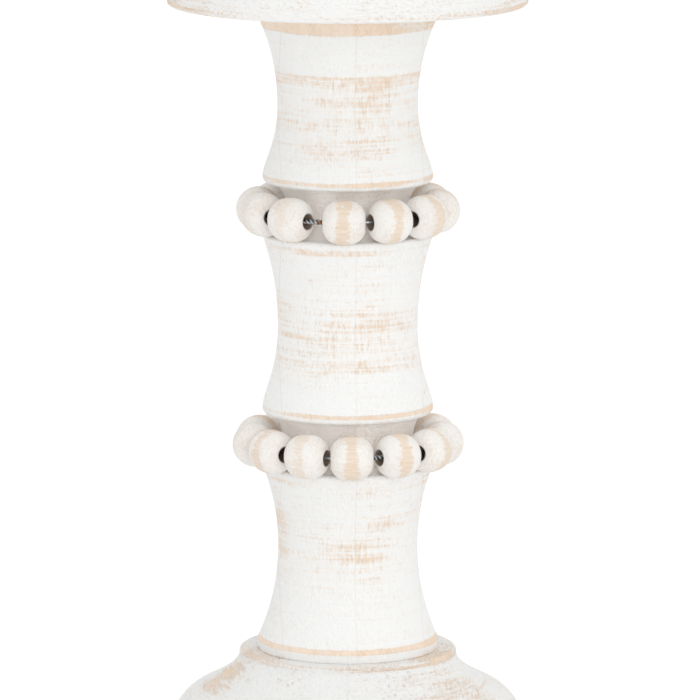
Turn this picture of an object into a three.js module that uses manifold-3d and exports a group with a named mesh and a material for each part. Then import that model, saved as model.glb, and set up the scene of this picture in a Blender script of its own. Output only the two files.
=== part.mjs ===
// Turned wooden candlestick with two loose strands of round wooden beads.
// Millimetres, +Z up. The origin is the middle of the underside that it stands on,
// and -Y is the front. Bead angles are measured from the front, positive to the right.

import * as THREE from 'three';
import { mergeVertices } from 'three/addons/utils/BufferGeometryUtils.js';
import Module from 'manifold-3d';

const wasm = await Module();
wasm.setup();

// ---- Driving dimensions ----

const SEAT_CLEARANCE = 0.3; // between any two pieces that meet

// Beads and the wire they are threaded on
const BEAD_DIAMETER = 15.6;
const BEAD_BORE = 5.2;
const WIRE_DIAMETER = 1.0;
const TWIST_LENGTH = 7.0; // the two wire ends wound round each other
const TWIST_TURNS = 3;

const UPPER_STRAND = {
  name: 'upper',
  beads: 12,
  beadGap: 0.6, // slack between neighbours
  closureAngle: 36.1, // between the two beads beside the wire's twist, in degrees
  firstBeadAngle: -2.2,
  overhang: 1.7, // how far the bead centres lie outside the lip that carries them
};
const LOWER_STRAND = {
  name: 'lower',
  beads: 13,
  beadGap: 0.3,
  closureAngle: 29.2,
  firstBeadAngle: 31.6,
  overhang: 3.1,
};

// Shaft
const LOWER_SPOOL_HEIGHT = 66.4; // from the base's ledge to the lower groove
const MIDDLE_SPOOL_HEIGHT = 64.4;
const UPPER_SPOOL_HEIGHT = 62.4; // from the upper groove to the plate
const LOWER_WAIST_RISE = 36.5; // from the foot of each spool to its narrowest place
const MIDDLE_WAIST_RISE = 31.2;
const UPPER_WAIST_RISE = 27.6;
const WAIST_RADIUS = 24.8;
const FLARE_RADIUS = 32.2; // at the plate and at the base
const COLLAR_HEIGHT = 3.0; // straight stretch beyond each flare
const GROOVE_PLAY = 2.4; // how much wider a groove is than a bead
const NECK_CLEARANCE = 2.3; // from the beads to the bottom of the groove
const LIP_ROUNDING = 1.2; // upper edge of the lower and middle spools
const ROLL_RADIUS = 1.6; // rounded lower edge of the middle and upper spools
const TENON_RADIUS = 12.0;
const TENON_LENGTH = 22.0;

// Candle plate
const PLATE_RADIUS = 63.5;
const PLATE_THICKNESS = 22.0;
const PLATE_EDGE_ROUNDING = 1.2;
const RIM_WIDTH = 7.0;
const RIM_ROUNDING = 2.5;
const DISH_DEPTH = 6.0;
const DISH_CORNER_RADIUS = 4.0;

// Dowel between the shaft and the plate
const DOWEL_RADIUS = 6.0;
const DOWEL_LENGTH = 26.0;
const DOWEL_CHAMFER = 1.0;
const DOWEL_DEPTH_IN_PLATE = 10.0;

// Base
const LEDGE_WIDTH = 6.4; // how far the ledge stands out round the shaft
const LEDGE_ROUNDING = 1.2;
const LEDGE_EDGE_HEIGHT = 1.6;
const BELL_RADIUS = 63.0; // where the bell is widest
const BELL_DROP = 29.6; // from the ledge down to there
const BELL_ROUNDING = 17.3;
const BELL_TOP_ANGLE = 65; // where the round bell turns into the hollow above it
const BELL_FOOT_ANGLE = -9; // where it meets the step above the foot
const FOOT_STEP = 4.0; // how far the foot stands out round the bell
const FOOT_HEIGHT = 13.7;
const FOOT_ROUNDING = 3.5;
const COUNTERBORE_MARGIN = 1.0; // round the washer
const COUNTERBORE_DEPTH = 12.0;

// Screw and washer that draw the shaft down on the base
const SCREW_RADIUS = 3.0;
const SCREW_BITE = 16.0; // length in the shaft's tenon
const SCREW_POINT_LENGTH = 4.0;
const SCREW_HEAD_RADIUS = 6.5;
const SCREW_HEAD_HEIGHT = 4.0;
const RECESS_LENGTH = 6.0;
const RECESS_WIDTH = 1.4;
const RECESS_DEPTH = 2.2;
const WASHER_RADIUS = 9.0;
const WASHER_THICKNESS = 1.6;

// Felt under the base
const FELT_THICKNESS = 2.0;
const FELT_MARGIN = 3.0; // from the felt's edge to the foot's edge

// How finely round pieces are cut
const LARGE_SEGMENTS = 40;
const SMALL_SEGMENTS = 20;
const BEAD_SEGMENTS = 16;
const WIRE_SEGMENTS = 48;
const WIRE_SIDES = 6;

// ---- Worked-out sizes ----

const rad = THREE.MathUtils.degToRad;
const BEAD_RADIUS = BEAD_DIAMETER / 2;
const WIRE_RADIUS = WIRE_DIAMETER / 2;
const GROOVE_WIDTH = BEAD_DIAMETER + GROOVE_PLAY;

// The angle between neighbouring beads, away from the wire's twist
function beadPitch(strand) {
  return (360 - strand.closureAngle) / (strand.beads - 1);
}

// The wire's ring radius, from how many beads lie round it
function ringRadius(strand) {
  return (BEAD_DIAMETER + strand.beadGap) / (2 * Math.sin(rad(beadPitch(strand) / 2)));
}

// The edge of the spools on both sides of a strand's groove
function lipRadius(strand) {
  return ringRadius(strand) - strand.overhang;
}

function neckRadius(strand) {
  return ringRadius(strand) - BEAD_RADIUS - NECK_CLEARANCE;
}

// The strand rests with its beads on the rounded lip below it
function ringHeight(strand, lipHeight) {
  const reach = BEAD_RADIUS + LIP_ROUNDING + SEAT_CLEARANCE;
  const outward = strand.overhang + LIP_ROUNDING;
  return lipHeight - LIP_ROUNDING + Math.sqrt(reach ** 2 - outward ** 2);
}

const LEDGE_RADIUS = FLARE_RADIUS + LEDGE_WIDTH;
const FOOT_RADIUS = BELL_RADIUS + FOOT_STEP;

const BASE_BOTTOM = FELT_THICKNESS + SEAT_CLEARANCE;
const FOOT_TOP = BASE_BOTTOM + FOOT_HEIGHT;
const BELL_MIDDLE = FOOT_TOP - BELL_ROUNDING * Math.sin(rad(BELL_FOOT_ANGLE));
const LEDGE_TOP = BELL_MIDDLE + BELL_DROP;
const SHAFT_BOTTOM = LEDGE_TOP + SEAT_CLEARANCE;
const LOWER_LIP = SHAFT_BOTTOM + LOWER_SPOOL_HEIGHT;
const MIDDLE_SPOOL_BOTTOM = LOWER_LIP + GROOVE_WIDTH;
const MIDDLE_LIP = MIDDLE_SPOOL_BOTTOM + MIDDLE_SPOOL_HEIGHT;
const UPPER_SPOOL_BOTTOM = MIDDLE_LIP + GROOVE_WIDTH;
const SHAFT_TOP = UPPER_SPOOL_BOTTOM + UPPER_SPOOL_HEIGHT;
const PLATE_BOTTOM = SHAFT_TOP + SEAT_CLEARANCE;
const PLATE_TOP = PLATE_BOTTOM + PLATE_THICKNESS;

const TENON_BOTTOM = SHAFT_BOTTOM - TENON_LENGTH;
const WEB_TOP = TENON_BOTTOM - SEAT_CLEARANCE;
const WEB_BOTTOM = BASE_BOTTOM + COUNTERBORE_DEPTH;
const WASHER_TOP = WEB_BOTTOM - SEAT_CLEARANCE;
const HEAD_TOP = WASHER_TOP - WASHER_THICKNESS - SEAT_CLEARANCE;
const SCREW_TIP = TENON_BOTTOM + SCREW_BITE;
const DOWEL_TOP = PLATE_BOTTOM + DOWEL_DEPTH_IN_PLATE;
const DOWEL_BOTTOM = DOWEL_TOP - DOWEL_LENGTH;

// ---- Outlines, as points of radius and height ----

const at = (radius, height) => new THREE.Vector2(radius, height);

// Points on a circle, with angles in degrees from outward (0) to up (90)
function round(radius, height, size, from, to, steps) {
  const clockwise = to < from;
  const circle = new THREE.EllipseCurve(radius, height, size, size, rad(from), rad(to), clockwise);
  return circle.getPoints(steps);
}

// A hollow arc from a spool's waist, where it is upright, out to an edge
function flare(waistRadius, waistHeight, edgeRadius, edgeHeight, steps) {
  const rise = edgeHeight - waistHeight;
  const spread = edgeRadius - waistRadius;
  const size = (rise ** 2 + spread ** 2) / (2 * spread);
  const turn = THREE.MathUtils.radToDeg(Math.asin(rise / size));
  return round(waistRadius + size, waistHeight, size, 180, 180 - turn, steps);
}

// A hollow curve from the waist that swells out to an upright edge
function swell(waistRadius, waistHeight, edgeRadius, edgeHeight, steps) {
  const rise = edgeHeight - waistHeight;
  const curve = new THREE.CubicBezierCurve(
    at(waistRadius, waistHeight),
    at(waistRadius, waistHeight + 0.56 * rise),
    at(edgeRadius, waistHeight + 0.8 * rise),
    at(edgeRadius, edgeHeight),
  );
  return curve.getPoints(steps);
}

// The groove that holds a strand, from the lip below it to the roll above it
function groove(strand, lipHeight) {
  const lip = lipRadius(strand);
  const neck = neckRadius(strand);
  const rollHeight = lipHeight + GROOVE_WIDTH + ROLL_RADIUS;
  const floor = lip - LIP_ROUNDING - neck;
  const roof = lip - ROLL_RADIUS - neck;
  const half = GROOVE_WIDTH / 2;
  const middle = lipHeight + half;
  const under = new THREE.EllipseCurve(neck + floor, middle, floor, half, rad(270), rad(180), true);
  const over = new THREE.EllipseCurve(neck + roof, middle, roof, half, rad(180), rad(90), true);
  return [
    round(lip - LIP_ROUNDING, lipHeight - LIP_ROUNDING, LIP_ROUNDING, 0, 90, 2),
    under.getPoints(3),
    over.getPoints(3),
    round(lip - ROLL_RADIUS, rollHeight, ROLL_RADIUS, 270, 360, 3),
  ];
}

// One outline from its stretches, leaving out points that repeat
function outline(...stretches) {
  const points = [];
  for (const point of stretches.flat(2)) {
    const last = points.at(-1);
    if (!last || last.distanceTo(point) > 1e-4) points.push(point);
  }
  return points;
}

// ---- Solids ----

// A turned solid standing along Z
function turned(points, segments) {
  return new THREE.LatheGeometry(points, segments).rotateX(Math.PI / 2);
}

function toSolid(geometry) {
  const bare = geometry.clone();
  bare.deleteAttribute('normal');
  bare.deleteAttribute('uv');
  const merged = mergeVertices(bare, 1e-5);
  const mesh = new wasm.Mesh({
    numProp: 3,
    vertProperties: new Float32Array(merged.attributes.position.array),
    triVerts: new Uint32Array(merged.index.array),
  });
  return new wasm.Manifold(mesh);
}

function toGeometry(solid) {
  const mesh = solid.getMesh();
  const geometry = new THREE.BufferGeometry();
  geometry.setAttribute('position', new THREE.BufferAttribute(mesh.vertProperties, 3));
  geometry.setIndex(new THREE.BufferAttribute(mesh.triVerts, 1));
  geometry.computeVertexNormals();
  return geometry;
}

function shaftShape() {
  const pilotRadius = SCREW_RADIUS + SEAT_CLEARANCE;
  const pilotTop = SCREW_TIP + SEAT_CLEARANCE;
  const dowelHole = DOWEL_RADIUS + SEAT_CLEARANCE;
  const dowelFloor = DOWEL_BOTTOM - SEAT_CLEARANCE;
  const lowerLip = lipRadius(LOWER_STRAND);
  const upperLip = lipRadius(UPPER_STRAND);
  const lowerWaist = SHAFT_BOTTOM + LOWER_WAIST_RISE;
  const middleWaist = MIDDLE_SPOOL_BOTTOM + MIDDLE_WAIST_RISE;
  const upperWaist = UPPER_SPOOL_BOTTOM + UPPER_WAIST_RISE;
  const lowerFlare = SHAFT_BOTTOM + COLLAR_HEIGHT;
  const upperFlare = SHAFT_TOP - COLLAR_HEIGHT;
  return outline(
    at(0, pilotTop),
    at(pilotRadius, pilotTop),
    at(pilotRadius, TENON_BOTTOM),
    at(TENON_RADIUS, TENON_BOTTOM),
    at(TENON_RADIUS, SHAFT_BOTTOM),
    at(FLARE_RADIUS, SHAFT_BOTTOM),
    flare(WAIST_RADIUS, lowerWaist, FLARE_RADIUS, lowerFlare, 5).reverse(),
    flare(WAIST_RADIUS, lowerWaist, lowerLip, LOWER_LIP - LIP_ROUNDING, 5),
    groove(LOWER_STRAND, LOWER_LIP),
    swell(WAIST_RADIUS, middleWaist, lowerLip, MIDDLE_SPOOL_BOTTOM + ROLL_RADIUS, 6).reverse(),
    flare(WAIST_RADIUS, middleWaist, upperLip, MIDDLE_LIP - LIP_ROUNDING, 5),
    groove(UPPER_STRAND, MIDDLE_LIP),
    swell(WAIST_RADIUS, upperWaist, upperLip, UPPER_SPOOL_BOTTOM + ROLL_RADIUS, 6).reverse(),
    flare(WAIST_RADIUS, upperWaist, FLARE_RADIUS, upperFlare, 5),
    at(FLARE_RADIUS, SHAFT_TOP),
    at(dowelHole, SHAFT_TOP),
    at(dowelHole, dowelFloor),
    at(0, dowelFloor),
  );
}

function plateShape() {
  const dowelHole = DOWEL_RADIUS + SEAT_CLEARANCE;
  const holeTop = DOWEL_TOP + SEAT_CLEARANCE;
  const dishRadius = PLATE_RADIUS - RIM_WIDTH;
  const dishFloor = PLATE_TOP - DISH_DEPTH;
  const lowEdge = PLATE_BOTTOM + PLATE_EDGE_ROUNDING;
  const rimEdge = PLATE_TOP - RIM_ROUNDING;
  return outline(
    at(0, holeTop),
    at(dowelHole, holeTop),
    at(dowelHole, PLATE_BOTTOM),
    round(PLATE_RADIUS - PLATE_EDGE_ROUNDING, lowEdge, PLATE_EDGE_ROUNDING, 270, 360, 2),
    round(PLATE_RADIUS - RIM_ROUNDING, rimEdge, RIM_ROUNDING, 0, 90, 3),
    round(dishRadius + 1, PLATE_TOP - 1, 1, 90, 180, 1),
    round(dishRadius - DISH_CORNER_RADIUS, dishFloor + DISH_CORNER_RADIUS, DISH_CORNER_RADIUS, 360, 270, 3),
    at(0, dishFloor),
  );
}

function baseShape() {
  const screwHole = SCREW_RADIUS + SEAT_CLEARANCE;
  const socketRadius = TENON_RADIUS + SEAT_CLEARANCE;
  const edgeBottom = LEDGE_TOP - LEDGE_EDGE_HEIGHT;
  const counterbore = WASHER_RADIUS + COUNTERBORE_MARGIN;
  const bellCentre = BELL_RADIUS - BELL_ROUNDING;
  const bell = round(bellCentre, BELL_MIDDLE, BELL_ROUNDING, BELL_FOOT_ANGLE, BELL_TOP_ANGLE, 6);
  const bellTop = bell.at(-1);
  const rise = (bellTop.x - LEDGE_RADIUS) / Math.tan(rad(BELL_TOP_ANGLE));
  const hollow = new THREE.QuadraticBezierCurve(
    bellTop,
    at(LEDGE_RADIUS, bellTop.y + rise),
    at(LEDGE_RADIUS, edgeBottom),
  );
  return outline(
    at(screwHole, WEB_TOP),
    at(screwHole, WEB_BOTTOM),
    at(counterbore, WEB_BOTTOM),
    at(counterbore, BASE_BOTTOM),
    round(FOOT_RADIUS - FOOT_ROUNDING, BASE_BOTTOM + FOOT_ROUNDING, FOOT_ROUNDING, 270, 360, 3),
    round(FOOT_RADIUS - FOOT_ROUNDING, FOOT_TOP - FOOT_ROUNDING, FOOT_ROUNDING, 0, 90, 3),
    bell,
    hollow.getPoints(3),
    round(LEDGE_RADIUS - LEDGE_ROUNDING, LEDGE_TOP - LEDGE_ROUNDING, LEDGE_ROUNDING, 0, 90, 2),
    at(socketRadius, LEDGE_TOP),
    at(socketRadius, WEB_TOP),
    at(screwHole, WEB_TOP),
  );
}

function dowelShape() {
  const end = DOWEL_RADIUS - DOWEL_CHAMFER;
  return outline(
    at(0, DOWEL_BOTTOM),
    at(end, DOWEL_BOTTOM),
    at(DOWEL_RADIUS, DOWEL_BOTTOM + DOWEL_CHAMFER),
    at(DOWEL_RADIUS, DOWEL_TOP - DOWEL_CHAMFER),
    at(end, DOWEL_TOP),
    at(0, DOWEL_TOP),
  );
}

function washerShape() {
  const hole = SCREW_RADIUS + SEAT_CLEARANCE;
  const bottom = WASHER_TOP - WASHER_THICKNESS;
  return outline(
    at(hole, bottom),
    at(WASHER_RADIUS, bottom),
    at(WASHER_RADIUS, WASHER_TOP),
    at(hole, WASHER_TOP),
    at(hole, bottom),
  );
}

function feltShape() {
  const radius = FOOT_RADIUS - FELT_MARGIN;
  return outline(at(0, 0), at(radius, 0), at(radius, FELT_THICKNESS), at(0, FELT_THICKNESS));
}

// A pan-head screw pointing up, with a cross recess in its head
function screwGeometry() {
  const headBottom = HEAD_TOP - SCREW_HEAD_HEIGHT;
  const dome = new THREE.QuadraticBezierCurve(
    at(0, headBottom),
    at(SCREW_HEAD_RADIUS, headBottom),
    at(SCREW_HEAD_RADIUS, HEAD_TOP),
  );
  const body = outline(
    dome.getPoints(5),
    at(SCREW_RADIUS, HEAD_TOP),
    at(SCREW_RADIUS, SCREW_TIP - SCREW_POINT_LENGTH),
    at(0, SCREW_TIP),
  );
  let solid = toSolid(turned(body, SMALL_SEGMENTS));
  for (const turn of [0, Math.PI / 2]) {
    const slot = new THREE.BoxGeometry(RECESS_LENGTH, RECESS_WIDTH, 2 * RECESS_DEPTH);
    slot.rotateZ(turn).translate(0, 0, headBottom);
    solid = solid.subtract(toSolid(slot));
  }
  return toGeometry(solid);
}

// A drilled ball whose bore lies along the turning axis
function beadGeometry() {
  const bore = BEAD_BORE / 2;
  const mouth = THREE.MathUtils.radToDeg(Math.acos(bore / BEAD_RADIUS));
  const ball = round(0, 0, BEAD_RADIUS, -mouth, mouth, 8);
  return new THREE.LatheGeometry(outline(ball, ball[0]), BEAD_SEGMENTS);
}

// The winding of one wire end round the other, along the ring
class TwistCurve extends THREE.Curve {
  constructor(radius, middleAngle) {
    super();
    this.radius = radius;
    this.middleAngle = middleAngle;
  }

  getPoint(t, target = new THREE.Vector3()) {
    const angle = this.middleAngle + ((t - 0.5) * TWIST_LENGTH) / this.radius;
    const offset = 1.7 * WIRE_RADIUS * Math.min(1, 4 * t, 4 * (1 - t));
    const turn = 2 * Math.PI * TWIST_TURNS * t;
    const reach = this.radius + offset * Math.cos(turn);
    return target.set(reach * Math.sin(angle), -reach * Math.cos(angle), offset * Math.sin(turn));
  }
}

function wireGeometry(strand) {
  const radius = ringRadius(strand);
  const ring = toSolid(new THREE.TorusGeometry(radius, WIRE_RADIUS, WIRE_SIDES, WIRE_SEGMENTS));
  const closure = rad(strand.firstBeadAngle - strand.closureAngle / 2);
  const section = new THREE.Shape().absarc(0, 0, 0.96 * WIRE_RADIUS, 0, 2 * Math.PI);
  const winding = new THREE.ExtrudeGeometry(section, {
    curveSegments: WIRE_SIDES,
    steps: 8 * TWIST_TURNS,
    extrudePath: new TwistCurve(radius, closure),
  });
  return toGeometry(ring.add(toSolid(winding)));
}

// ---- Materials ----

const paintedWood = () => new THREE.MeshStandardMaterial({ color: 0xf2eee9, roughness: 0.8, metalness: 0 });
const bareWood = () => new THREE.MeshStandardMaterial({ color: 0xe3c09a, roughness: 0.75, metalness: 0 });
const galvanised = () => new THREE.MeshStandardMaterial({ color: 0xa3a6a8, roughness: 0.4, metalness: 0.9 });
const zincPlated = () => new THREE.MeshStandardMaterial({ color: 0xb9b7ad, roughness: 0.35, metalness: 0.9 });
const felt = () => new THREE.MeshStandardMaterial({ color: 0xd9d2c6, roughness: 1, metalness: 0 });

// ---- Assembly ----

function piece(name, geometry, material) {
  const mesh = new THREE.Mesh(geometry, material);
  mesh.name = name;
  return mesh;
}

function strandGroup(strand, lipHeight) {
  const group = new THREE.Group();
  group.position.z = ringHeight(strand, lipHeight);
  group.add(piece(`${strand.name}_wire`, wireGeometry(strand), galvanised()));
  const radius = ringRadius(strand);
  for (let i = 0; i < strand.beads; i += 1) {
    const angle = rad(strand.firstBeadAngle + i * beadPitch(strand));
    const number = String(i + 1).padStart(2, '0');
    const bead = piece(`${strand.name}_bead_${number}`, beadGeometry(), paintedWood());
    bead.position.set(radius * Math.sin(angle), -radius * Math.cos(angle), 0);
    bead.rotation.z = angle - Math.PI / 2;
    group.add(bead);
  }
  return group;
}

const candlestick = new THREE.Group();
candlestick.add(
  piece('felt_pad', turned(feltShape(), LARGE_SEGMENTS), felt()),
  piece('base', turned(baseShape(), LARGE_SEGMENTS), paintedWood()),
  piece('base_screw', screwGeometry(), zincPlated()),
  piece('screw_washer', turned(washerShape(), SMALL_SEGMENTS), zincPlated()),
  piece('turned_shaft', turned(shaftShape(), LARGE_SEGMENTS), paintedWood()),
  piece('plate_dowel', turned(dowelShape(), SMALL_SEGMENTS), bareWood()),
  piece('candle_plate', turned(plateShape(), LARGE_SEGMENTS), paintedWood()),
  strandGroup(LOWER_STRAND, LOWER_LIP),
  strandGroup(UPPER_STRAND, MIDDLE_LIP),
);

export default candlestick;
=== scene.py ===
"""A turned wooden candlestick, limewashed and sanded back, with two loose strands of wooden beads.

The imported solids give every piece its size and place. This file turns the fine surfaces around
them, gives them their finishes, and sets the floor, the light and the camera. Units are metres,
+Z is up, and the front of the candlestick faces -Y.
"""

import itertools
import math
import random

import bpy
from bpy.props import FloatProperty, FloatVectorProperty, IntProperty, PointerProperty
from mathutils import Matrix, Vector, noise


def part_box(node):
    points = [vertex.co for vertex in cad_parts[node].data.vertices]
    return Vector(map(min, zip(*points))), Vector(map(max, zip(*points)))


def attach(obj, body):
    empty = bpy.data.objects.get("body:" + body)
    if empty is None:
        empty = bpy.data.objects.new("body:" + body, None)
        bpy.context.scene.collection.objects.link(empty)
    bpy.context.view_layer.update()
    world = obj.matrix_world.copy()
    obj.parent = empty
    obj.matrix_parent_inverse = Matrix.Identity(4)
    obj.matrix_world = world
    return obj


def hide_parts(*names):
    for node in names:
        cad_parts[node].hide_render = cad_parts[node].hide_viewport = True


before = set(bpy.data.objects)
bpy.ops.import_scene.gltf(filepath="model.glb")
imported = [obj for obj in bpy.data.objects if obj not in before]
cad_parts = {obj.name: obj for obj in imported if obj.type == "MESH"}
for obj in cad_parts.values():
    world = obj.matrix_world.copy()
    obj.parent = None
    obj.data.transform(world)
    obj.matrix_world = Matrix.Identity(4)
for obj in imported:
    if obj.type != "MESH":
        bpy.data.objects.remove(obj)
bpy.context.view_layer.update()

bl_info = {
    "name": "Turned Candlestick",
    "version": (1, 0, 0),
    "blender": (4, 5, 0),
    "location": "3D View > Sidebar > Candlestick",
    "description": "Turns and finishes a limewashed candlestick with two strands of beads",
    "category": "Object",
}

BASE_LOW, BASE_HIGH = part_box("base")
SHAFT_LOW, SHAFT_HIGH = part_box("turned_shaft")
PLATE_LOW, PLATE_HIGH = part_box("candle_plate")
FELT_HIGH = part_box("felt_pad")[1]
DOWEL_LOW, DOWEL_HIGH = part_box("plate_dowel")
SCREW_LOW, SCREW_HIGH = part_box("base_screw")

CLEARANCE = 0.0003  # round the fixings, as in the solids
HEAD_OVERHANG = 0.0032  # how far the screw's head stands out round its hole
SCREW_HOLE = (SCREW_HIGH.x - SCREW_LOW.x) / 2 - HEAD_OVERHANG
DOWEL_HOLE = DOWEL_HIGH.x + CLEARANCE
OUTLINE_STEP = 0.0006  # between an outline's points, fine enough to carry the thinnest sanded ring
ARC_STEP = 9  # degrees, the most between two points of an arc
TOUCHING = 1e-6  # points nearer than this are one
SHARP_ANGLE = math.radians(38)  # between faces, where the shading breaks
SHARPEST = 1.2  # radians that an edge turns by when it counts as fully sharp
# What each point of a turned piece carries: how far it is sanded, how sharp its edge is, and how much painted
# light it gets in a hollow.
WEAR = ("sanded", "edge", "hollow_light")

# The skin of a turned piece waves and chips. These are waves and chips for each metre.
WAVES_ROUND = 45
WAVES_UP = 70
CHIPS = 320
CHIP_DEPTH = 1.6  # in times the waves' depth


# ---- Settings ----


def linear(code):
    """An sRGB hex colour as linear red, green and blue."""
    channels = [int(code[i : i + 2], 16) / 255 for i in (0, 2, 4)]
    return tuple(c / 12.92 if c <= 0.04045 else ((c + 0.055) / 1.055) ** 2.4 for c in channels)


def amount(name, default, description, least=0, **kind):
    """A number in the settings."""
    return FloatProperty(name=name, description=description, default=default, min=least, **kind)


def size(name, default, description):
    """A length in metres."""
    return amount(name, default, description, precision=4, unit="LENGTH", subtype="DISTANCE")


def angle(name, default, description):
    """An angle, with its default in degrees."""
    return amount(name, math.radians(default), description, unit="ROTATION", subtype="ANGLE")


def colour(name, code, description):
    """A colour, with its default as an sRGB hex code."""
    kind = {"min": 0, "max": 1, "size": 3, "subtype": "COLOR"}
    return FloatVectorProperty(name=name, description=description, default=linear(code), **kind)


class ShaftSettings(bpy.types.PropertyGroup):
    """Sizes of the turned shaft"""

    waist_radius: size("Waist radius", 0.0248, "Narrowest radius of each spool")
    flare_radius: size("Flare radius", 0.0322, "Radius at the plate and at the base")
    collar_height: size("Collar height", 0.003, "Straight stretch beyond each flare")
    lower_waist: size("Lower waist", 0.0365, "Rise of the waist above the lower spool's foot")
    middle_waist: size("Middle waist", 0.0312, "Rise of the waist above the middle spool's foot")
    upper_waist: size("Upper waist", 0.0276, "Rise of the waist above the upper spool's foot")
    lip_rounding: size("Lip rounding", 0.0012, "Rounding of the lip that a strand rests on")
    roll_radius: size("Roll radius", 0.0016, "Rounded lower edge of the spool above a groove")
    groove_play: size("Groove play", 0.0024, "How much wider a groove is than a bead")
    neck_clearance: size("Neck clearance", 0.0023, "From the beads to the bottom of the groove")
    tenon_radius: size("Tenon radius", 0.012, "Tenon that goes down into the base")
    hidden_end_rounding: size("End rounding", 0.0004, "Eased edge where the shaft meets its neighbours")


class PlateSettings(bpy.types.PropertyGroup):
    """Sizes of the candle plate"""

    edge_rounding: size("Edge rounding", 0.0012, "Rounding of the lower edge")
    rim_width: size("Rim width", 0.007, "Flat rim round the dish")
    rim_rounding: size("Rim rounding", 0.0025, "Rounding of the rim's outer edge")
    dish_depth: size("Dish depth", 0.006, "Depth of the dish that the candle stands in")
    dish_corner: size("Dish corner", 0.004, "Hollow corner of the dish")


class BaseSettings(bpy.types.PropertyGroup):
    """Sizes of the bell-shaped base"""

    ledge_width: size("Ledge width", 0.0064, "How far the ledge stands out round the shaft")
    ledge_rounding: size("Ledge rounding", 0.0012, "Rounding of the ledge's edge")
    ledge_edge: size("Ledge edge", 0.0016, "Height of the ledge's upright edge")
    bell_drop: size("Bell drop", 0.0296, "From the ledge down to where the bell is widest")
    bell_rounding: size("Bell rounding", 0.0173, "Rounding of the bell's side")
    bell_top_angle: angle("Bell top angle", 65, "Where the round bell turns into the hollow above it")
    bell_foot_angle: angle("Bell foot angle", 9, "How far the bell turns in above the foot")
    foot_step: size("Foot step", 0.004, "How far the foot stands out round the bell")
    foot_height: size("Foot height", 0.0137, "Height of the foot")
    foot_rounding: size("Foot rounding", 0.0035, "Rounding of the foot's edges")
    counterbore_radius: size("Counterbore radius", 0.010, "Recess for the screw and its washer")
    counterbore_depth: size("Counterbore depth", 0.012, "Depth of that recess")


class BeadSettings(bpy.types.PropertyGroup):
    """Shape and wear of the beads"""

    bore_radius: size("Bore radius", 0.0026, "Radius of the hole along each bead")
    length: size("Length", 0.0151, "Length of a bead along its hole, a little under its diameter")
    mouth_rounding: size("Mouth rounding", 0.0004, "Rounding where the end meets the hole")
    belt_width: size("Belt width", 0.0050, "Width of the belt that is sanded bare")
    overhang_upper: size("Upper overhang", 0.0017, "Bead centres outside the upper strand's lip")
    overhang_lower: size("Lower overhang", 0.0031, "Bead centres outside the lower strand's lip")


class WireSettings(bpy.types.PropertyGroup):
    """Sizes of the wire in each strand"""

    radius: size("Radius", 0.0005, "Radius of the wire")
    twist_length: size("Twist length", 0.007, "Length of the two ends wound round each other")
    twist_turns: IntProperty(name="Twist turns", description="Turns in the twist", default=3, min=1, max=12)


class FinishSettings(bpy.types.PropertyGroup):
    """Colours of the wood and its paint, with painted shade in the pores and painted light in the grooves"""

    paint: colour("Limewash", "E8E8E6", "Paint where it lies thick")
    thin_paint: colour("Thin limewash", "E8DDD1", "Paint where it was wiped thin")
    # Partly dirt, partly painted shade: a grey that darkens the pores, sanding marks and specks where their
    # relief would be in shade. The glue lines take it too.
    pore_dirt_and_shade: colour("Limewash in pores", "D1CBC4", "Paint sunk into pores and brush lines")
    # Painted light: a paint lighter than the rest, laid in the grooves and in the base's foot corner to lift
    # their shade.
    painted_hollow_light: colour("Groove limewash", "FFF8F1", "Paint in the grooves, where the brush hardly reached")
    bead_paint: colour("Bead limewash", "E2DFDA", "Thinner paint on the beads, which were tumbled in it")
    bead_shade: colour("Bead limewash, thin", "D6CABE", "Paint on the beads where it was rubbed thin")
    wood: colour("Wood", "E9D2BC", "Bare wood between its growth rings")
    dark_wood: colour("Dark wood", "D9B896", "Growth rings in bare wood")
    belt: colour("Belt", "DCCAB5", "Bare wood in the beads' belts")
    dark_belt: colour("Dark belt", "CDAF90", "Grain in the beads' belts")


class StageSettings(bpy.types.PropertyGroup):
    """Floor, light and camera"""

    floor: colour("Floor", "FEFEFE", "Colour of the floor")
    floor_width: size("Floor width", 16.0, "Side of the square floor")
    sky: amount("Sky", 0.87, "Strength of the even light from all sides")
    key: amount("Key", 0.66, "Soft light from the front right")
    top: amount("Top", 0.64, "Soft light from above")
    aim_height: size("Aim height", 0.155, "Height of the point on the axis that the camera looks at")
    distance: size("Distance", 2.398, "From the camera to that point")
    pitch: angle("Pitch", 9.3, "How far the camera looks down")
    sideways: size("Sideways", 0.0008, "How far right of the axis the camera aims")
    softness: amount("Softness", 1.25, "Gamma that lifts the shadows", least=0.1)
    focal: amount("Focal length", 348.8, "Lens in millimetres", least=1)


class CandlestickSettings(bpy.types.PropertyGroup):
    """All settings of the candlestick"""

    shaft: PointerProperty(type=ShaftSettings)
    plate: PointerProperty(type=PlateSettings)
    base: PointerProperty(type=BaseSettings)
    beads: PointerProperty(type=BeadSettings)
    wires: PointerProperty(type=WireSettings)
    finish: PointerProperty(type=FinishSettings)
    stage: PointerProperty(type=StageSettings)


# ---- Strands, as the solids have them ----


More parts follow.
